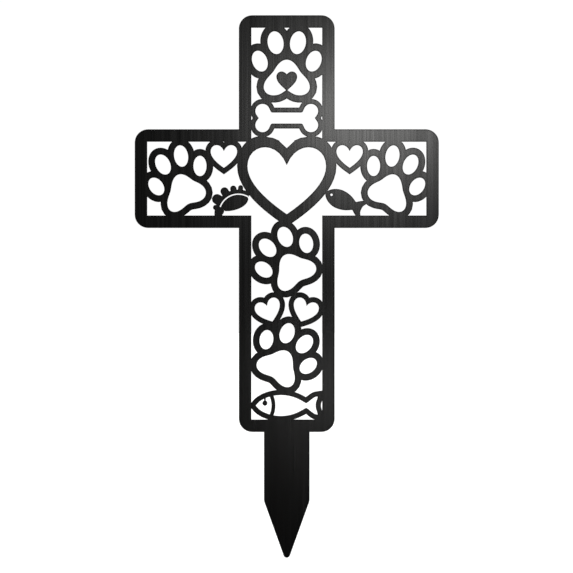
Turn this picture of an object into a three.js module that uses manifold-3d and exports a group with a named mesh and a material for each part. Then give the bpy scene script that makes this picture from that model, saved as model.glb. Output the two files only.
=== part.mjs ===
// Metal grave cross for a pet's grave: one flat plate cut from sheet steel.
// A plain border follows the outline of the cross. Inside it the metal is cut away round
// paws, hearts, a bone and fish, whose bands weld into the border and into each other.
// Below the foot the plate runs on as a pointed stake.
// Millimetres, +Z up, the front looks towards -Y.
// The origin is the middle of the stake where it enters the ground, under the foot.

import * as THREE from 'three';
import { mergeVertices } from 'three/addons/utils/BufferGeometryUtils.js';
import Module from 'manifold-3d';

const wasm = await Module();
wasm.setup();

// Border of the cross
const crossHeight = 312.5;
const crossWidth = 228;
const uprightWidth = 71.8;
const armHeight = 74;
const armCentreHeight = 190;
const borderWidth = 9.35;
const cornerRadius = 10;
const plateThickness = 2;

// Stake below the foot
const stakeWidth = 34.2;
const stakeLength = 94.2;
const pointLength = 42.5;
const shoulderRadius = 8;
const tipRadius = 2.5;

// Large heart in the crossing, which reaches past the upright's bars on both sides
const heartPastBar = 2.9;
const heartTipGap = 1;
const heartTopGap = 4.1;
const heartShoulderRadius = 16.9;
const heartShoulderInset = 10.5;
const heartShoulderDrop = 8.55;
const bandCleftHeight = 12.75;
const bandCleftSlope = 43;
const bandCleftReach = 8;

// Metal left round each kind of opening
const pawBand = 5.1;
const topPawBand = 5.5;
const boneBand = 3.75;
const largeHeartBand = 7.8;
const smallHeartBand = 4.05;
const fishBand = 4;

// How far a band is sunk into the bar that it meets
const pawWeld = 2.4;
const leaningPawWeld = 1.1;
const boneWeld = 0.7;
const smallHeartWeld = 1.5;
const fishWeld = 0.65;
const fishBellyWeld = 1.35;
const finWeld = 4.2;
const noseWeld = 0.6;

// The outer toe openings come this close to the bar
const topToeToBar = 0.4;
const armToeToBar = 0.85;

// How far the paws of the arms and of the lower field lean, in degrees
const armPawTurn = 23;
const lowPawTurn = 31.5;

// Figures inside the openings
const noseWidth = 15.6;
const noseHeight = 14.7;
const noseSink = 1;
const lipRise = 2.4;
const lipHalfWidth = 7.5;
const heartSplit = 5.3;
const lowHeartLean = 19.5;
const gillWidth = 3;
const eyeBridgeWidth = 1.3;

// Crested ornament on the lower bar of the left arm
const slitRadius = 14.5;
const slitWidth = 0.9;
const crestWidth = 3.5;
const ornamentRise = 1.5;
const ornamentPastUpright = 0.4;
const ornamentFootWidth = 6.8;
const ornamentFootHeight = 7;
const ornamentStemWidth = 4.2;

// Heights in the upper field, as shares of the way from the large heart up to the top bar
const upperField = { bone: [0.126, 0.3625], pawFoot: 0.435 };
// Heights in the lower field, as shares of the way from the foot bar up to the large heart
const lowerField = {
  fishBack: 0.119,
  lowPaw: [0.158, 0.469],
  hearts: [0.4775, 0.5935],
  highPaw: [0.627, 0.938],
};
// Places along an arm, as shares of the way from its end bar to the large heart
const armField = { paw: 0.591, heart: [0.633, 0.896], heartFoot: 0.647, fishBack: 0.36 };

// Edges of the openings inside the border
const channelHalf = uprightWidth / 2 - borderWidth;
const channel = {
  left: -channelHalf,
  right: channelHalf,
  bottom: borderWidth,
  top: crossHeight - borderWidth,
};
const arms = {
  left: -crossWidth / 2 + borderWidth,
  right: crossWidth / 2 - borderWidth,
  bottom: armCentreHeight - armHeight / 2 + borderWidth,
  top: armCentreHeight + armHeight / 2 - borderWidth,
};

const largeHeartBox = {
  left: channel.left - heartPastBar,
  right: channel.right + heartPastBar,
  bottom: arms.bottom + heartTipGap,
  top: arms.top - heartTopGap,
};

const upwards = (share) => THREE.MathUtils.lerp(largeHeartBox.top, channel.top, share);
const fromFoot = (share) => THREE.MathUtils.lerp(channel.bottom, largeHeartBox.bottom, share);
const alongLeftArm = (share) => THREE.MathUtils.lerp(arms.left, largeHeartBox.left, share);

const boxes = {
  topPaw: {
    left: channel.left + topToeToBar,
    right: channel.right - topToeToBar,
    bottom: upwards(upperField.pawFoot),
    top: channel.top - pawBand + pawWeld,
  },
  bone: {
    left: channel.left + boneBand - boneWeld,
    right: channel.right - boneBand + boneWeld,
    bottom: upwards(upperField.bone[0]),
    top: upwards(upperField.bone[1]),
  },
  armPaw: {
    left: arms.left + armToeToBar,
    right: alongLeftArm(armField.paw),
    bottom: arms.bottom + pawBand - pawWeld,
    top: arms.top - pawBand + pawWeld,
  },
  armHeart: {
    left: alongLeftArm(armField.heart[0]),
    right: alongLeftArm(armField.heart[1]),
    bottom: THREE.MathUtils.lerp(arms.bottom, arms.top, armField.heartFoot),
    top: arms.top - smallHeartBand + smallHeartWeld,
  },
  highPaw: {
    left: channel.left + pawBand - pawWeld,
    right: channel.right - pawBand + leaningPawWeld / 2,
    bottom: fromFoot(lowerField.highPaw[0]),
    top: fromFoot(lowerField.highPaw[1]),
  },
  lowPaw: {
    left: channel.left + pawBand - leaningPawWeld,
    right: channel.right - pawBand + leaningPawWeld,
    bottom: fromFoot(lowerField.lowPaw[0]),
    top: fromFoot(lowerField.lowPaw[1]),
  },
  lowHeart: {
    left: channel.left + smallHeartBand - smallHeartWeld,
    right: -heartSplit,
    bottom: fromFoot(lowerField.hearts[0]),
    top: fromFoot(lowerField.hearts[1]),
  },
  solidFish: {
    left: largeHeartBox.right - noseWeld,
    right: -alongLeftArm(armField.paw) + pawWeld,
    bottom: arms.bottom - finWeld,
    top: THREE.MathUtils.lerp(arms.bottom, arms.top, armField.fishBack),
  },
  fish: {
    left: channel.left + fishBand - fishWeld,
    right: channel.right - fishBand + fishWeld,
    bottom: channel.bottom + fishBand - fishBellyWeld,
    top: fromFoot(lowerField.fishBack),
  },
};

// Outlines are closed lists of points, anticlockwise, in the plane of the plate

const point = (x, y) => new THREE.Vector2(x, y);
const radians = THREE.MathUtils.degToRad;
const quarterTurn = 90;

function towards(degrees, length) {
  return point(Math.cos(radians(degrees)), Math.sin(radians(degrees))).multiplyScalar(length);
}

function arc(centre, radius, fromDegrees, toDegrees, steps) {
  return Array.from({ length: steps + 1 }, (_, i) =>
    towards(THREE.MathUtils.lerp(fromDegrees, toDegrees, i / steps), radius).add(centre));
}

function disc(centre, radius, steps) {
  return arc(centre, radius, 0, 360, steps).slice(0, -1);
}

function ringPart(centre, innerRadius, outerRadius, fromDegrees, toDegrees, steps) {
  const outer = arc(centre, outerRadius, fromDegrees, toDegrees, steps);
  return [...outer, ...arc(centre, innerRadius, toDegrees, fromDegrees, steps)];
}

function curve(start, startHandle, endHandle, end, steps) {
  return new THREE.CubicBezierCurve(start, startHandle, endHandle, end).getPoints(steps);
}

function rectangle(left, right, bottom, top) {
  return [point(left, bottom), point(right, bottom), point(right, top), point(left, top)];
}

function turned(outline, degrees) {
  return outline.map((p) => p.clone().rotateAround(point(0, 0), radians(degrees)));
}

function mirrored(outline) {
  return outline.map((p) => point(-p.x, p.y)).reverse();
}

// Closes a half that runs from left to right above the x axis with its mirror image below
function withLowerHalf(half) {
  const lower = half.slice(1, -1).map((p) => point(p.x, -p.y));
  return [half[0], ...lower, ...half.slice(1).reverse()];
}

// Stretches a figure of one or more outlines until its openings just fill a box
function fitted(outlines, box) {
  const from = new THREE.Box2().setFromPoints(outlines.flat());
  const to = new THREE.Box2(point(box.left, box.bottom), point(box.right, box.top));
  const scale = to.getSize(point(0, 0)).divide(from.getSize(point(0, 0)));
  return outlines.map((outline) => outline.map((p) => p.clone().sub(from.min).multiply(scale).add(to.min)));
}

function mirroredBox(box) {
  return { ...box, left: -box.right, right: -box.left };
}

// Moves an outline outwards by a band, with pointed corners, and keeps clefts clean:
// a corner that comes nearer to the outline than the band gives way to the crossing beside it,
// and of points closer together than the least gap only the last one stays
const sharpTurn = 0.4;
const roundingShare = 0.0005;
const leastSpread = 0.02;
const leastGap = 0.15;

function grown(outline, band) {
  const count = outline.length;
  const at = (i) => outline[(i + count) % count];
  const outward = (i) => {
    const along = at(i + 1).clone().sub(at(i)).normalize();
    return point(along.y, -along.x);
  };
  const moved = outline.map((p, i) => {
    const before = outward(i - 1);
    const after = outward(i);
    return p.clone().add(before.clone().add(after).multiplyScalar(band / (1 + before.dot(after))));
  });
  const allowance = band * roundingShare;
  const isCleft = (i) => outward(i - 1).cross(outward(i)) < -sharpTurn;
  const isClear = moved.map((p, i) => !isCleft(i) && distanceToOutline(p, outline) > band - allowance);
  const result = [];
  for (let i = 0; i < count; i += 1) {
    const next = (i + 1) % count;
    if (isClear[i]) {
      result.push(moved[i]);
      if (!isClear[next]) {
        let last = next;
        while (!isClear[(last + 1) % count]) last += 1;
        const crossing = meeting(moved[i], outward(i), moved[(last + 1) % count], outward(last));
        if (crossing) result.push(crossing);
      }
    }
  }
  return result.filter((p, i) => p.distanceTo(result[(i + 1) % result.length]) > leastGap);
}

function distanceToOutline(p, outline) {
  let nearest = Infinity;
  const closest = new THREE.Vector3();
  const target = new THREE.Vector3(p.x, p.y, 0);
  outline.forEach((corner, i) => {
    const next = outline[(i + 1) % outline.length];
    new THREE.Line3(new THREE.Vector3(corner.x, corner.y, 0), new THREE.Vector3(next.x, next.y, 0))
      .closestPointToPoint(target, true, closest);
    nearest = Math.min(nearest, closest.distanceTo(target));
  });
  return nearest;
}

// Where two lines cross, each given by a point and the direction square to it
function meeting(pointA, acrossA, pointB, acrossB) {
  const spread = acrossA.cross(acrossB);
  if (Math.abs(spread) < leastSpread) return null;
  const reachA = pointA.dot(acrossA);
  const reachB = pointB.dot(acrossB);
  return point(
    (reachA * acrossB.y - reachB * acrossA.y) / spread,
    (reachB * acrossA.x - reachA * acrossB.x) / spread,
  );
}

// A paw print: four toes and a pad, in shares of the pad's mean radius

const innerToe = { across: 0.611, up: 1.851, halfLength: 0.605, halfWidth: 0.431, lean: 10.3 };
const outerToe = { across: 1.473, up: 0.88, halfLength: 0.568, halfWidth: 0.406, lean: 22.4 };
const toeSteps = 28;
// How the pad's radius swings with one, two, three and more waves round it
const padSwings = [-0.1244, -0.1005, 0.2244, -0.042, -0.02, 0.0191];
const padSteps = 52;

function toe({ across, up, halfLength, halfWidth, lean }) {
  const oval = disc(point(0, 0), 1, toeSteps).map((p) => point(p.x * halfWidth, p.y * halfLength));
  return turned(oval, lean).map((p) => p.add(point(-across, up)));
}

function pad() {
  return Array.from({ length: padSteps }, (_, i) => {
    const angle = (360 * i) / padSteps;
    const radius = padSwings.reduce((sum, swing, k) => sum + swing * Math.cos(radians((k + 1) * angle)), 1);
    return towards(quarterTurn + angle, radius);
  });
}

function paw(turn, box) {
  const leftToes = [toe(innerToe), toe(outerToe)];
  const openings = [pad(), ...leftToes, ...leftToes.map(mirrored)];
  return fitted(openings.map((outline) => turned(outline, turn)), box);
}

// The top paw's pad is a dog's muzzle: its lower edge is drawn up to a lip, and a heart is the nose
function withLip(padOutline) {
  const middle = (boxes.topPaw.left + boxes.topPaw.right) / 2;
  const centreHeight = new THREE.Box2().setFromPoints(padOutline).getCenter(point(0, 0)).y;
  return padOutline.map((p) => {
    const nearness = Math.max(0, 1 - Math.abs(p.x - middle) / lipHalfWidth);
    return point(p.x, p.y < centreHeight ? p.y + lipRise * nearness ** 2 : p.y);
  });
}

// A heart, one wide and one high, with its tip at the origin

const heartForm = {
  cleft: 0.735, side: 0.72, lobe: [0.43, 18.8], brow: 0.323, cheek: 0.253, tip: [0.332, 51],
};
const noseForm = {
  cleft: 0.861, side: 0.733, lobe: [0.374, 41.1], brow: 0.212, cheek: 0.323, tip: [0.21, 35.5],
};
const heartSteps = 11;
const heartHeightToWidth = 0.8485;
const shoulderDiscSteps = 64;

function heart({ cleft, side, lobe, brow, cheek, tip }) {
  const cleftPoint = point(0, cleft);
  const sidePoint = point(0.5, side);
  const lobeHandle = towards(quarterTurn - lobe[1], lobe[0]).add(cleftPoint);
  const tipHandle = towards(quarterTurn - tip[1], tip[0]);
  const lower = curve(point(0, 0), tipHandle, point(0.5, side - cheek), sidePoint, heartSteps);
  const upper = curve(sidePoint, point(0.5, side + brow), lobeHandle, cleftPoint, heartSteps);
  const right = [...lower, ...upper.slice(1)];
  return [...right, ...mirrored(right).slice(1, -1)];
}

// The band round the large heart dips to a sharp point above the cleft of the opening
function bandCleft(largeHeart) {
  const foot = largeHeart[2 * heartSteps].clone().add(point(0, bandCleftHeight));
  const right = towards(bandCleftSlope, bandCleftReach).add(foot);
  return [foot, right, ...mirrored([right])];
}

// The metal round the large heart is fuller at the shoulders, where it holds the bone and the arms' top bars
function heartShoulder() {
  const centre = point(largeHeartBox.left + heartShoulderInset, largeHeartBox.top - heartShoulderDrop);
  return disc(centre, heartShoulderRadius, shoulderDiscSteps);
}

// A bone, in shares of its half length

const boneForm = { knob: 0.229, knobAcross: 0.771, knobUp: 0.226, notch: 0.892, shaft: 0.177, bend: 0.05 };
const knobFromDegrees = -35;
const knobToDegrees = 156;
const knobSteps = 14;
const bendSteps = 3;

function bone(box) {
  const { knob, knobAcross, knobUp, notch, shaft, bend } = boneForm;
  const rim = arc(point(knobAcross, knobUp), knob, knobFromDegrees, knobToDegrees, knobSteps);
  const neck = towards(knobToDegrees + quarterTurn, 1);
  const corner = rim.at(-1).clone().add(neck.clone().multiplyScalar((shaft - rim.at(-1).y) / neck.y));
  const bendStart = corner.clone().sub(neck.clone().multiplyScalar(bend));
  const bendEnd = corner.clone().sub(point(bend, 0));
  const bendLine = new THREE.QuadraticBezierCurve(bendStart, corner, bendEnd).getPoints(bendSteps);
  const upperRight = [point(notch, 0), ...rim, ...bendLine, point(0, shaft)];
  const upper = [...upperRight, ...mirrored(upperRight).slice(1)];
  const lower = upper.slice(1, -1).map((p) => point(p.x, -p.y)).reverse();
  return fitted([[...upper, ...lower]], box)[0];
}

// A fish that looks to the left, in shares of its length, with its nose at the origin

const outlinedFish = {
  crest: [0.407, 0.165], nose: [0.122, 55.9], front: 0.169, back: 0.172,
  pinch: [0.811, 0.035], pinchIn: [0.122, 31.2], pinchOut: [0.071, 22.8],
  fin: [0.142, 0.072], tailNotch: 0.967,
  eye: [0.147, 0.038], eyeRadius: 0.042, gillAcross: 0.285, gillRadius: 0.397,
};
const solidFish = {
  crest: [0.346, 0.216], nose: [0.18, 69], front: 0.085, back: 0.211,
  pinch: [0.716, 0.099], pinchIn: [0.054, 25.1], pinchOut: [0.119, 41.5],
  fin: [0.247, 0.06], tailNotch: 0.892,
  eye: [0.148, 0.016], eyeRadius: 0.028,
};
const solidFishDive = 25;
const fishSteps = 7;
const tailHollow = 0.6;
const tailSteps = 4;
const eyeSteps = 12;
const gillReach = 30;
const gillSteps = 8;

function fish({ crest, nose, front, back, pinch, pinchIn, pinchOut, fin, tailNotch, eye, eyeRadius }) {
  const top = point(...crest);
  const waist = point(...pinch);
  const finTip = point(1, fin[0]);
  const notch = point(tailNotch, 0);
  const noseHandle = towards(nose[1], nose[0]);
  const waistIn = towards(180 - pinchIn[1], pinchIn[0]).add(waist);
  const waistOut = towards(pinchOut[1], pinchOut[0]).add(waist);
  const tailHandle = finTip.clone().lerp(notch, tailHollow);
  const half = [
    ...curve(point(0, 0), noseHandle, point(top.x - front, top.y), top, fishSteps),
    ...curve(top, point(top.x + back, top.y), waistIn, waist, fishSteps).slice(1),
    ...curve(waist, waistOut, point(1 - fin[1], finTip.y), finTip, fishSteps).slice(1),
    ...curve(finTip, tailHandle, point(notch.x, fin[0] / 2), notch, tailSteps).slice(1),
  ];
  return { body: withLowerHalf(half), eye: disc(point(...eye), eyeRadius, eyeSteps) };
}

// The curved bar behind the head, which joins the fish's back to its belly
function gill(box) {
  const length = box.right - box.left;
  const radius = outlinedFish.gillRadius * length;
  const centre = point(box.left + outlinedFish.gillAcross * length - radius, (box.bottom + box.top) / 2);
  return ringPart(centre, radius - gillWidth / 2, radius + gillWidth / 2, -gillReach, gillReach, gillSteps);
}

// Outline of the cross with rounded outer corners, and of the stake below it

const halfUpright = uprightWidth / 2;
const halfCross = crossWidth / 2;
const armFoot = armCentreHeight - armHeight / 2;
const armHead = armCentreHeight + armHeight / 2;
const cornerSteps = 6;
const tipSteps = 4;
const shoulderSteps = 2;

function roundedCorner(x, y, fromDegrees) {
  const centre = point(x - Math.sign(x) * cornerRadius, y + (y > armCentreHeight ? -1 : 1) * cornerRadius);
  return arc(centre, cornerRadius, fromDegrees, fromDegrees + quarterTurn, cornerSteps);
}

function crossOutline() {
  return [
    ...roundedCorner(halfUpright, 0, -90),
    point(halfUpright, armFoot),
    ...roundedCorner(halfCross, armFoot, -90),
    ...roundedCorner(halfCross, armHead, 0),
    point(halfUpright, armHead),
    ...roundedCorner(halfUpright, crossHeight, 0),
    ...roundedCorner(-halfUpright, crossHeight, 90),
    point(-halfUpright, armHead),
    ...roundedCorner(-halfCross, armHead, 90),
    ...roundedCorner(-halfCross, armFoot, 180),
    point(-halfUpright, armFoot),
    ...roundedCorner(-halfUpright, 0, 180),
  ];
}

// The stake's sides run straight down, turn in at a soft shoulder and close on a rounded tip
function stakeOutline() {
  const halfStake = stakeWidth / 2;
  const shoulder = point(halfStake, pointLength - stakeLength);
  const tipCentre = point(0, tipRadius - stakeLength);
  const reach = shoulder.distanceTo(tipCentre);
  const slope = THREE.MathUtils.radToDeg(
    Math.atan2(halfStake, shoulder.y - tipCentre.y) - Math.asin(tipRadius / reach));
  const bendHeight = shoulderRadius * Math.tan(radians(slope / 2));
  const bendCentre = point(halfStake - shoulderRadius, shoulder.y + bendHeight);
  const right = [
    ...arc(tipCentre, tipRadius, -90, -slope, tipSteps),
    ...arc(bendCentre, shoulderRadius, -slope, 0, shoulderSteps),
    point(halfStake, borderWidth / 2),
  ];
  return [...right, ...mirrored(right).slice(0, -1)];
}

// The crested ornament: a leaf under a curved slit, a crest with round knobs over it, and a foot.
// Its sizes are shares of the slit's radius, measured from the slit's centre.

const leafEdge = [[-0.69, 0.119], [-0.2, 0.1], [0.4, 0.32], [0.507, 0.69]];
const leafTip = [0.53, 0.78];
const leafTipInset = 0.97;
const leafSteps = 8;
const leafTipSteps = 3;
const slitFromDegrees = 60.5;
const slitToDegrees = 160;
const crestFromDegrees = 59;
const crestToDegrees = 186;
const crestSteps = 16;
const knobs = [
  { angle: 85, reach: 1.342, radius: 0.13 },
  { angle: 101.5, reach: 1.309, radius: 0.163 },
  { angle: 122, reach: 1.352, radius: 0.21 },
  { angle: 146, reach: 1.325, radius: 0.265 },
  { angle: 165.2, reach: 1.218, radius: 0.135 },
];
const knobRoot = 1.1;
const knobRimSteps = 9;
const footSteps = 24;

const slitCentre = point(-halfUpright - ornamentPastUpright, arms.bottom + ornamentRise);

function leaf() {
  const edge = curve(...leafEdge.map((pair) => point(...pair)), leafSteps);
  const rim = arc(point(0, 0), 1, slitFromDegrees, slitToDegrees, crestSteps);
  const rimStart = rim[0].clone().multiplyScalar(leafTipInset);
  const tip = new THREE.QuadraticBezierCurve(edge.at(-1), point(...leafTip), rimStart);
  const outline = [...edge, ...tip.getPoints(leafTipSteps).slice(1), ...rim];
  return outline.map((p) => p.multiplyScalar(slitRadius).add(slitCentre));
}

function knob({ angle, reach, radius }) {
  const rim = arc(point(reach, 0), radius, -90, 90, knobRimSteps);
  const root = [point(knobRoot, radius), point(knobRoot, -radius)];
  return turned([...rim, ...root], angle).map((p) => p.multiplyScalar(slitRadius).add(slitCentre));
}

function crest() {
  const outerRadius = slitRadius + crestWidth;
  return ringPart(slitCentre, slitRadius, outerRadius, crestFromDegrees, crestToDegrees, crestSteps);
}

function slit() {
  const innerRadius = slitRadius - slitWidth / 2;
  const outerRadius = slitRadius + slitWidth / 2;
  return ringPart(slitCentre, innerRadius, outerRadius, slitFromDegrees, slitToDegrees, crestSteps);
}

// The ornament stands on a round foot with a short stem
function ornamentFoot() {
  const middle = point(slitCentre.x - slitRadius + slitWidth / 2, arms.bottom + ornamentFootHeight / 2);
  const bulb = disc(point(0, 0), 1, footSteps).map((p) =>
    point(middle.x + (p.x * ornamentFootWidth) / 2, middle.y + (p.y * ornamentFootHeight) / 2));
  const halfStem = ornamentStemWidth / 2;
  const stem = rectangle(middle.x - halfStem, middle.x + halfStem, arms.bottom - borderWidth / 2, middle.y);
  return [bulb, stem];
}

// Solids: each outline becomes a slab as thick as the plate

function solidOf(outline, overrun = 0) {
  const depth = plateThickness + 2 * overrun;
  const geometry = new THREE.ExtrudeGeometry(new THREE.Shape(outline), { depth, bevelEnabled: false });
  geometry.translate(0, 0, -depth / 2);
  geometry.deleteAttribute('uv');
  geometry.deleteAttribute('normal');
  const merged = mergeVertices(geometry, 1e-4);
  return new wasm.Manifold(new wasm.Mesh({
    numProp: 3,
    vertProperties: merged.attributes.position.array,
    triVerts: Uint32Array.from(merged.index.array),
  }));
}

const cutterOf = (outline) => solidOf(outline, plateThickness);
const joined = (solids) => solids.reduce((sum, solid) => sum.add(solid));

function crossPlate() {
  const [topPad, ...topToes] = paw(0, boxes.topPaw);
  const muzzle = withLip(topPad);
  const topPawOpenings = [muzzle, ...topToes];
  const pawOpenings = [
    ...paw(armPawTurn, boxes.armPaw),
    ...paw(-armPawTurn, mirroredBox(boxes.armPaw)),
    ...paw(lowPawTurn, boxes.highPaw),
    ...paw(-lowPawTurn, boxes.lowPaw),
  ];
  const boneOpening = bone(boxes.bone);
  const wholeHeart = heart(heartForm);
  const leaningHeart = turned(wholeHeart.map((p) => point(p.x, p.y * heartHeightToWidth)), lowHeartLean);
  const largeHeart = fitted([wholeHeart], largeHeartBox)[0];
  const armHeart = fitted([wholeHeart], boxes.armHeart)[0];
  const lowHeart = fitted([leaningHeart], boxes.lowHeart)[0];
  const smallHearts = [armHeart, mirrored(armHeart), lowHeart, mirrored(lowHeart)];
  const belowFish = fish(outlinedFish);
  const [fishOpening, fishEye] = fitted([belowFish.body, belowFish.eye], boxes.fish);
  const divingFish = fish(solidFish);
  const [solidFishBody, solidFishEye] = fitted(
    [turned(divingFish.body, -solidFishDive), turned(divingFish.eye, -solidFishDive)], boxes.solidFish);

  const openings = [...topPawOpenings, ...pawOpenings, boneOpening, largeHeart, ...smallHearts, fishOpening];
  const bands = [
    ...topPawOpenings.map((outline) => grown(outline, topPawBand)),
    ...pawOpenings.map((outline) => grown(outline, pawBand)),
    grown(boneOpening, boneBand),
    grown(largeHeart, largeHeartBand),
    heartShoulder(),
    mirrored(heartShoulder()),
    ...smallHearts.map((outline) => grown(outline, smallHeartBand)),
    grown(fishOpening, fishBand),
    solidFishBody,
    leaf(),
    crest(),
    ...knobs.map(knob),
    ...ornamentFoot(),
  ];

  const outline = solidOf(crossOutline());
  const channelCut = cutterOf(rectangle(channel.left, channel.right, channel.bottom, channel.top));
  const armsCut = cutterOf(rectangle(arms.left, arms.right, arms.bottom, arms.top));
  const border = outline.subtract(channelCut).subtract(armsCut);
  const pattern = joined(bands.map((band) => solidOf(band))).intersect(outline);
  const cuts = joined([...openings, bandCleft(largeHeart), solidFishEye, slit()].map(cutterOf));

  const lipTop = muzzle[padSteps / 2];
  const noseFoot = point(lipTop.x, lipTop.y - noseSink);
  const nose = heart(noseForm).map((p) => point(p.x * noseWidth, p.y * noseHeight).add(noseFoot));
  const eyeMiddle = new THREE.Box2().setFromPoints(fishEye).getCenter(point(0, 0));
  const eyeBridge = rectangle(
    eyeMiddle.x - eyeBridgeWidth / 2, eyeMiddle.x + eyeBridgeWidth / 2, eyeMiddle.y, boxes.fish.top);
  const islands = [nose, fishEye, eyeBridge, gill(boxes.fish)].map((figure) => solidOf(figure));

  return joined([border, pattern]).subtract(cuts).add(joined(islands)).add(solidOf(stakeOutline()));
}

// The finished plate stands upright, with its outlines in the XZ plane

const blackSteel = new THREE.MeshStandardMaterial({ color: 0x1d1d1e, roughness: 0.42, metalness: 0.85 });

function meshOf(solid, name, material) {
  const { vertProperties, triVerts } = solid.getMesh();
  const geometry = new THREE.BufferGeometry();
  geometry.setAttribute('position', new THREE.BufferAttribute(vertProperties, 3));
  geometry.setIndex(new THREE.BufferAttribute(triVerts, 1));
  const mesh = new THREE.Mesh(geometry, material);
  mesh.name = name;
  return mesh;
}

const plate = meshOf(crossPlate(), 'cross_plate', blackSteel);
plate.rotation.x = Math.PI / 2;

const graveCross = new THREE.Group();
graveCross.add(plate);

export default graveCross;
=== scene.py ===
# Metal grave cross: one black, brushed steel plate with a pierced pattern and a stake below it.

import math

import bpy
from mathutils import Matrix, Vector
from mathutils.bvhtree import BVHTree
from mathutils.geometry import tessellate_polygon


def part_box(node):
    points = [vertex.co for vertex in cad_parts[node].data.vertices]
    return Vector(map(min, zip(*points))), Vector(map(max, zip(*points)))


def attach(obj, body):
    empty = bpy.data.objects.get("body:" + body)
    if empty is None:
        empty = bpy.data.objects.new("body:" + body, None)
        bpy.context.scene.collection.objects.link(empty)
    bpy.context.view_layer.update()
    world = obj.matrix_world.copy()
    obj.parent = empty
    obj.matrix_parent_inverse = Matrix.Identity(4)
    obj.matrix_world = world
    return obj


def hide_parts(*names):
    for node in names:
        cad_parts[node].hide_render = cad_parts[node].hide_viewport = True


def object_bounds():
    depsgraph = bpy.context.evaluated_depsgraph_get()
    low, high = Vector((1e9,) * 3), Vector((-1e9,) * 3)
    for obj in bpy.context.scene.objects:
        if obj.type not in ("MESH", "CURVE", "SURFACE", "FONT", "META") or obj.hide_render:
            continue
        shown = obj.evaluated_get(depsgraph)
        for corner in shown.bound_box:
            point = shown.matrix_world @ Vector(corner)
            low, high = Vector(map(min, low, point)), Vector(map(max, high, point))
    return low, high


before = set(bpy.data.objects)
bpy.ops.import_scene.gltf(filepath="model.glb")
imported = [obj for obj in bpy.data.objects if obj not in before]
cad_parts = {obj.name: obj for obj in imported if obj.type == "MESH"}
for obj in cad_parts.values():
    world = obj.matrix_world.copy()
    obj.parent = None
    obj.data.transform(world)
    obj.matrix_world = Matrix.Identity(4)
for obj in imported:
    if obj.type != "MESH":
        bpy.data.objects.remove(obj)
cad_low, cad_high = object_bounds()


# The plate is one sheet of mild steel, 2 mm thick, cut right through along every line of the pattern.
# Its faces are ground with a fine belt that runs up and down, the cut edges are broken with fine abrasive,
# and then it is blackened and oiled. It stands by itself, with its stake pushed into the ground.

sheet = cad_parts["cross_plate"]
sheet_low, sheet_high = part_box("cross_plate")
front_y, back_y = sheet_low.y, sheet_high.y

# A narrow soft rim runs round the border, the stake and every opening, on the front and on the back
rim_width = 0.0003
shortest_cut = 0.00006
longest_bend = 0.003
corner_turn = math.radians(26)
longest_mitre = 1.6
mitre_where_opening_juts_in = 1.0
least_opening_out = 0.05
thin_share = 0.35
wall_skip = 0.00001
wall_half_height = 1
same_place_digits = 6
flat_within = 1e-6
middle_of_curve = 1 / 8
millimetres = 1000

# The belt leaves long, hair-thin upright marks, some bundled into faint broader bands,
# and for about a millimetre along every edge the colour is darkened: painted shade, where the edge leans
# away from the light
steel_grey = (1.0, 0.995, 0.98)
face_tone, face_roughness, face_marks = 0.0122, 0.26, 0.25
rim_tone, rim_roughness, rim_marks = 0.007, 0.6, 0.1
rim_gleam = 0.1
edge_shade_width = 0.0018
edge_shade_leaning = (0.93, 0.9995)
edge_shade_depth = 0.3
edge_shade_samples = 6
hair_scale, hair_detail, hair_range = (1500, 1500, 12), 2, (0.72, 1.28)
band_scale, band_detail, band_range = (480, 480, 5), 3, (0.84, 1.16)
cloud_scale, cloud_detail, cloud_range = (26, 26, 14), 2, (0.95, 1.05)
noise_middle = (0.3, 0.7)
roughness_range = (0.94, 1.06)
mark_depth = 0.00002


def cut_lines(node, face_y):
    """The closed lines where the front face ends, with the metal on their left as seen from the front."""
    corners = [vertex.co for vertex in node.data.vertices]
    names = [(round(co.x, same_place_digits), round(co.z, same_place_digits)) for co in corners]
    sides = set()
    for face in node.data.polygons:
        if all(abs(corners[i].y - face_y) < flat_within for i in face.vertices):
            ring = [names[i] for i in face.vertices]
            sides.update(zip(ring, ring[1:] + ring[:1]))
    onward = {start: end for start, end in sides if (end, start) not in sides}
    lines = []
    while onward:
        first, here = onward.popitem()
        line = [Vector(first)]
        while here != first:
            line.append(Vector(here))
            here = onward.pop(here)
        lines.append(line)
    return sorted(lines, key=lambda line: (line[0].x, line[0].y))


def cleaned(line):
    """Leaves out corners that lie closer together than the cutter's own width of scatter."""
    kept = [line[0]]
    for corner in line[1:]:
        if (corner - kept[-1]).length > shortest_cut:
            kept.append(corner)
    return kept if (kept[0] - kept[-1]).length > shortest_cut else kept[:-1]


def turn_at(before, corner, after):
    return abs((corner - before).angle(after - corner, 0.0))


def eased(line):
    """Bends the short flats of a round stretch into a true curve, with one more point on each."""
    count = len(line)
    result = []
    for i in range(count):
        before, start = line[i - 1], line[i]
        end, after = line[(i + 1) % count], line[(i + 2) % count]
        flat = end - start
        result.append(start)
        soft_start = turn_at(before, start, end) < corner_turn
        soft_end = turn_at(start, end, after) < corner_turn
        if flat.length > longest_bend or not (soft_start or soft_end):
            continue
        leaving = (flat + (start - before).normalized() * flat.length) / 2 if soft_start else flat
        arriving = (flat + (after - end).normalized() * flat.length) / 2 if soft_end else flat
        result.append((start + end) / 2 + (leaving - arriving) * middle_of_curve)
    return result


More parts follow.
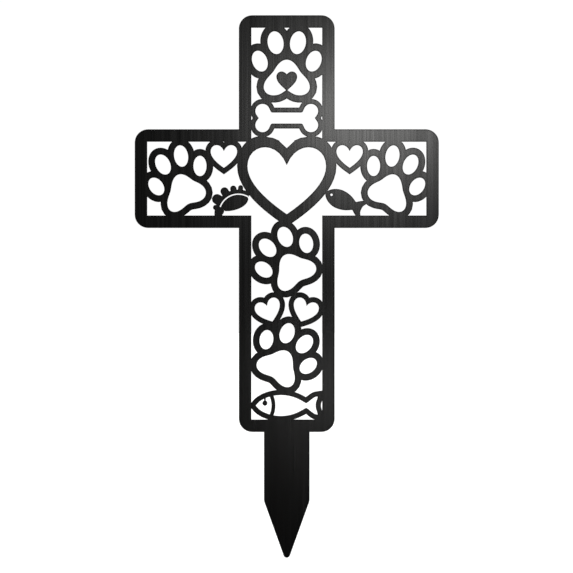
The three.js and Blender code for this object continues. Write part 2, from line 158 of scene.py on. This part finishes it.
def inward(line):
    """For each corner, the way into the metal that keeps a rim of even width, also at pointed openings."""
    ways = []
    for i, corner in enumerate(line):
        arriving = (corner - line[i - 1]).normalized()
        leaving = (line[(i + 1) % len(line)] - corner).normalized()
        left_of_arriving = Vector((-arriving.y, arriving.x))
        left_of_leaving = Vector((-leaving.y, leaving.x))
        opening_out = max(least_opening_out, 1 + left_of_arriving.dot(left_of_leaving))
        way = (left_of_arriving + left_of_leaving) / opening_out
        juts_in = left_of_arriving.dot(leaving) < 0
        reach = min(way.length, mitre_where_opening_juts_in if juts_in else longest_mitre)
        ways.append(way.normalized() * reach)
    return ways


lines = [eased(cleaned(line)) for line in cut_lines(sheet, front_y)]

# Upright walls on the cut lines: where the metal behind a corner is thin, the rim takes only a share of it
wall_corners = []
wall_sides = []
for line in lines:
    first = len(wall_corners) // 2
    for i, corner in enumerate(line):
        wall_corners.append(Vector((corner.x, corner.y, -wall_half_height)))
        wall_corners.append(Vector((corner.x, corner.y, wall_half_height)))
        here, beyond = 2 * (first + i), 2 * (first + (i + 1) % len(line))
        wall_sides.append((here, beyond, beyond + 1, here + 1))
cut_walls = BVHTree.FromPolygons(wall_corners, wall_sides)


def kept_in_metal(corner, way):
    """Shortens the way inwards where another cut is near."""
    straight = Vector((way.x, way.y, 0)).normalized()
    start = Vector((corner.x, corner.y, 0)) + straight * wall_skip
    *_, room = cut_walls.ray_cast(start, straight, rim_width * longest_mitre / thin_share)
    if room is None:
        return way
    return way * min(1.0, room * thin_share / (rim_width * way.length))


# The rim's profile from the front face over the cut wall to the back face: how far in, and at what depth
quarter_in = rim_width * (1 - math.sin(math.radians(45)))
profile = [
    (rim_width, front_y),
    (quarter_in, front_y + quarter_in),
    (0, front_y + rim_width),
    (0, back_y - rim_width),
    (quarter_in, back_y - quarter_in),
    (rim_width, back_y),
]

points = []
walls = []
sharp_pairs = set()
front_rings = []
back_rings = []
for line in lines:
    ways = [kept_in_metal(corner, way) for corner, way in zip(line, inward(line))]
    count = len(line)
    start = len(points)
    for inset, depth in profile:
        points += [Vector((c.x + w.x * inset, depth, c.y + w.y * inset)) for c, w in zip(line, ways)]
    for ring in range(len(profile) - 1):
        here, beyond = start + ring * count, start + (ring + 1) * count
        for i in range(count):
            j = (i + 1) % count
            walls.append((here + j, here + i, beyond + i, beyond + j))
            if turn_at(line[i - 1], line[i], line[j]) > corner_turn:
                sharp_pairs.add((here + i, beyond + i))
    front_rings.append(range(start, start + count))
    back_rings.append(range(start + (len(profile) - 1) * count, start + len(profile) * count))


def filled(rings, y_sign):
    """Triangles that close a flat face between the rims, worked out in millimetres, all looking outwards."""
    order = [i for ring in rings for i in ring]
    flats = [[Vector((points[i].x, points[i].z, 0)) * millimetres for i in ring] for ring in rings]
    faces = []
    for triangle in tessellate_polygon(flats):
        corners = tuple(order[i] for i in triangle)
        a, b, c = (points[i] for i in corners)
        faces.append(corners if (b - a).cross(c - a).y * y_sign > 0 else corners[::-1])
    return faces


front_faces = filled(front_rings, -1)
back_faces = filled(back_rings, 1)

plate_mesh = bpy.data.meshes.new("cross_plate_steel")
plate_mesh.from_pydata(points, [], walls + front_faces + back_faces)
for face in plate_mesh.polygons:
    is_wall = face.index < len(walls)
    face.use_smooth = is_wall
    face.material_index = 1 if is_wall else 0
for edge in plate_mesh.edges:
    edge.use_edge_sharp = tuple(edge.vertices) in sharp_pairs or tuple(edge.vertices)[::-1] in sharp_pairs
plate_mesh.validate()


def noise_of(tree, where, stretch, detail):
    """A grey pattern laid out in metres, drawn out along each axis by its own scale."""
    mapping = tree.nodes.new("ShaderNodeMapping")
    mapping.inputs["Scale"].default_value = stretch
    noise = tree.nodes.new("ShaderNodeTexNoise")
    noise.inputs["Scale"].default_value = 1.0
    noise.inputs["Detail"].default_value = detail
    tree.links.new(where, mapping.inputs["Vector"])
    tree.links.new(mapping.outputs["Vector"], noise.inputs["Vector"])
    return noise.outputs["Fac"]


def ranged(tree, value, from_low, from_high, to_low, to_high):
    ranger = tree.nodes.new("ShaderNodeMapRange")
    ranger.inputs["From Min"].default_value = from_low
    ranger.inputs["From Max"].default_value = from_high
    ranger.inputs["To Min"].default_value = to_low
    ranger.inputs["To Max"].default_value = to_high
    tree.links.new(value, ranger.inputs["Value"])
    return ranger.outputs["Result"]


def spread(tree, noise, low, high):
    """Turns the middle of a noise pattern into a range of its own."""
    return ranged(tree, noise, *noise_middle, low, high)


def times(tree, first, second):
    product = tree.nodes.new("ShaderNodeMath")
    product.operation = "MULTIPLY"
    tree.links.new(first, product.inputs[0])
    tree.links.new(second, product.inputs[1])
    return product.outputs["Value"]


def times_number(tree, value, number):
    product = tree.nodes.new("ShaderNodeMath")
    product.operation = "MULTIPLY"
    product.inputs[1].default_value = number
    tree.links.new(value, product.inputs[0])
    return product.outputs["Value"]


def painted_edge_shade(tree):
    """Painted edge shade: one on the open face, and falling towards a cut edge, where the rounded-off
    surface leans away.
    """
    rounded = tree.nodes.new("ShaderNodeBevel")
    rounded.samples = edge_shade_samples
    rounded.inputs["Radius"].default_value = edge_shade_width
    flat = tree.nodes.new("ShaderNodeNewGeometry")
    leaning = tree.nodes.new("ShaderNodeVectorMath")
    leaning.operation = "DOT_PRODUCT"
    tree.links.new(rounded.outputs["Normal"], leaning.inputs[0])
    tree.links.new(flat.outputs["True Normal"], leaning.inputs[1])
    return ranged(tree, leaning.outputs["Value"], *edge_shade_leaning, edge_shade_depth, 1.0)


def black_steel(name, tone, roughness, mark_strength):
    material = bpy.data.materials.new(name)
    material.use_nodes = True
    tree = material.node_tree
    surface = tree.nodes["Principled BSDF"]
    place = tree.nodes.new("ShaderNodeTexCoord").outputs["Object"]
    hairs = noise_of(tree, place, hair_scale, hair_detail)
    bands = noise_of(tree, place, band_scale, band_detail)
    clouds = noise_of(tree, place, cloud_scale, cloud_detail)
    shine = times(tree, spread(tree, hairs, *hair_range), spread(tree, bands, *band_range))
    shine = times(tree, shine, spread(tree, clouds, *cloud_range))
    # Painted shade: the colour darkens towards every cut edge
    shine = times(tree, shine, painted_edge_shade(tree))
    colour = tree.nodes.new("ShaderNodeCombineColor")
    for channel, share in zip(("Red", "Green", "Blue"), steel_grey):
        tree.links.new(times_number(tree, shine, tone * share), colour.inputs[channel])
    tree.links.new(colour.outputs["Color"], surface.inputs["Base Color"])
    rough_low, rough_high = (roughness * share for share in roughness_range)
    tree.links.new(spread(tree, bands, rough_low, rough_high), surface.inputs["Roughness"])
    surface.inputs["Metallic"].default_value = 1.0
    bump = tree.nodes.new("ShaderNodeBump")
    bump.inputs["Strength"].default_value = mark_strength
    bump.inputs["Distance"].default_value = mark_depth
    tree.links.new(hairs, bump.inputs["Height"])
    tree.links.new(bump.outputs["Normal"], surface.inputs["Normal"])
    return material


face_steel = black_steel("brushed_black_steel", face_tone, face_roughness, face_marks)
rim_steel = black_steel("cut_edge_steel", rim_tone, rim_roughness, rim_marks)
burnt_surface = rim_steel.node_tree.nodes["Principled BSDF"]
burnt_surface.inputs["Metallic"].default_value = 0.0
burnt_surface.inputs["Specular IOR Level"].default_value = rim_gleam
plate_mesh.materials.append(face_steel)
plate_mesh.materials.append(rim_steel)

plate = bpy.data.objects.new("cross_plate_steel", plate_mesh)
bpy.context.scene.collection.objects.link(plate)
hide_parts("cross_plate")
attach(plate, "root")


# The floor is a plain, pale studio floor of matt board, very wide and evenly lit.
# The stake's tip just touches it.

floor_reach = 12.0
floor_z = cad_low.z
floor_grey = 0.3
floor_roughness = 0.9
floor_glow = 0.6

floor_mesh = bpy.data.meshes.new("floor")
floor_ends = (-floor_reach, floor_reach)
floor_corners = [(x, y, floor_z) for y in floor_ends for x in floor_ends]
floor_mesh.from_pydata(floor_corners, [], [(0, 1, 3, 2)])
floor = bpy.data.objects.new("floor", floor_mesh)
bpy.context.scene.collection.objects.link(floor)
pale = bpy.data.materials.new("pale_floor")
pale.use_nodes = True
pale_surface = pale.node_tree.nodes["Principled BSDF"]
pale_surface.inputs["Base Color"].default_value = (floor_grey, floor_grey, floor_grey, 1)
pale_surface.inputs["Roughness"].default_value = floor_roughness
pale_surface.inputs["Specular IOR Level"].default_value = 0.0
pale_surface.inputs["Emission Color"].default_value = (1, 1, 1, 1)
pale_surface.inputs["Emission Strength"].default_value = floor_glow
floor.visible_glossy = False
floor.visible_diffuse = False
floor_mesh.materials.append(pale)


# The light is a white studio. Tall soft lamps stand all round it, except behind the camera, where the wall
# is dim, so that seen from the front the steel stays black. A small lamp in front at the upper right makes
# the sheen on the right arm, and a weaker one low down in front lights the foot.

wall_seen = 1.02
wall_behind_camera = 0.08
wall_beside = 1.0
tall_lamps = 15
between_lamps, at_lamps = 0.5, 2.9
dim_from, dim_to = -0.95, -0.72
low_share, high_share = 0.3, 1.75
upper_lamp_place, upper_lamp_aim = (0.0785, -0.6, 0.273), (0.063, 0, 0.241)
upper_lamp_size, upper_lamp_power = (0.13, 0.06), 1.24
lower_lamp_place, lower_lamp_aim = (0.0335, -0.6, 0.0185), (0.027, 0, 0.036)
lower_lamp_size, lower_lamp_power = (0.06, 0.06), 0.13

world = bpy.data.worlds.new("studio")
world.use_nodes = True
studio = world.node_tree
studio_wall = studio.nodes["Background"]
studio_wall.inputs["Color"].default_value = (1, 1, 1, 1)
direction = studio.nodes.new("ShaderNodeSeparateXYZ")
studio.links.new(studio.nodes.new("ShaderNodeTexCoord").outputs["Generated"], direction.inputs["Vector"])
bearing = studio.nodes.new("ShaderNodeMath")
bearing.operation = "ARCTAN2"
studio.links.new(direction.outputs["X"], bearing.inputs[0])
studio.links.new(direction.outputs["Y"], bearing.inputs[1])
wave = studio.nodes.new("ShaderNodeMath")
wave.operation = "SINE"
studio.links.new(times_number(studio, bearing.outputs["Value"], tall_lamps), wave.inputs[0])
wall_light = times(
    studio,
    ranged(studio, direction.outputs["Y"], dim_from, dim_to, wall_behind_camera, wall_beside),
    ranged(studio, direction.outputs["Z"], -1.0, 1.0, low_share, high_share))
lamp_light = ranged(studio, wave.outputs["Value"], -1.0, 1.0, between_lamps, at_lamps)
wall_light = times(studio, wall_light, lamp_light)
backdrop = studio.nodes.new("ShaderNodeMix")
backdrop.inputs["B"].default_value = wall_seen
studio.links.new(studio.nodes.new("ShaderNodeLightPath").outputs["Is Camera Ray"], backdrop.inputs["Factor"])
studio.links.new(wall_light, backdrop.inputs["A"])
studio.links.new(backdrop.outputs["Result"], studio_wall.inputs["Strength"])
bpy.context.scene.world = world
bpy.context.scene.view_settings.view_transform = "Standard"


def soft_lamp(name, place, aim, size, power):
    light = bpy.data.lights.new(name, "AREA")
    light.shape = "ELLIPSE"
    light.size, light.size_y = size
    light.energy = power
    lamp = bpy.data.objects.new(name, light)
    lamp.location = place
    lamp.rotation_euler = (Vector(aim) - Vector(place)).to_track_quat("-Z", "Y").to_euler()
    lamp.visible_camera = False
    bpy.context.scene.collection.objects.link(lamp)


soft_lamp("upper_lamp", upper_lamp_place, upper_lamp_aim, upper_lamp_size, upper_lamp_power)
soft_lamp("lower_lamp", lower_lamp_place, lower_lamp_aim, lower_lamp_size, lower_lamp_power)


# The camera stands straight in front, far off, as in the photo.

view_width = 0.42975
camera_distance = 2.5
camera_height = 0.1091
camera_side = -0.0002
sensor_width = 36
camera_data = bpy.data.cameras.new("camera")
camera_data.sensor_width = sensor_width
camera_data.lens = sensor_width * camera_distance / view_width
camera = bpy.data.objects.new("camera", camera_data)
camera.location = (camera_side, -camera_distance, camera_height)
camera.rotation_euler = (math.radians(90), 0, 0)
bpy.context.scene.collection.objects.link(camera)
bpy.context.scene.camera = camera
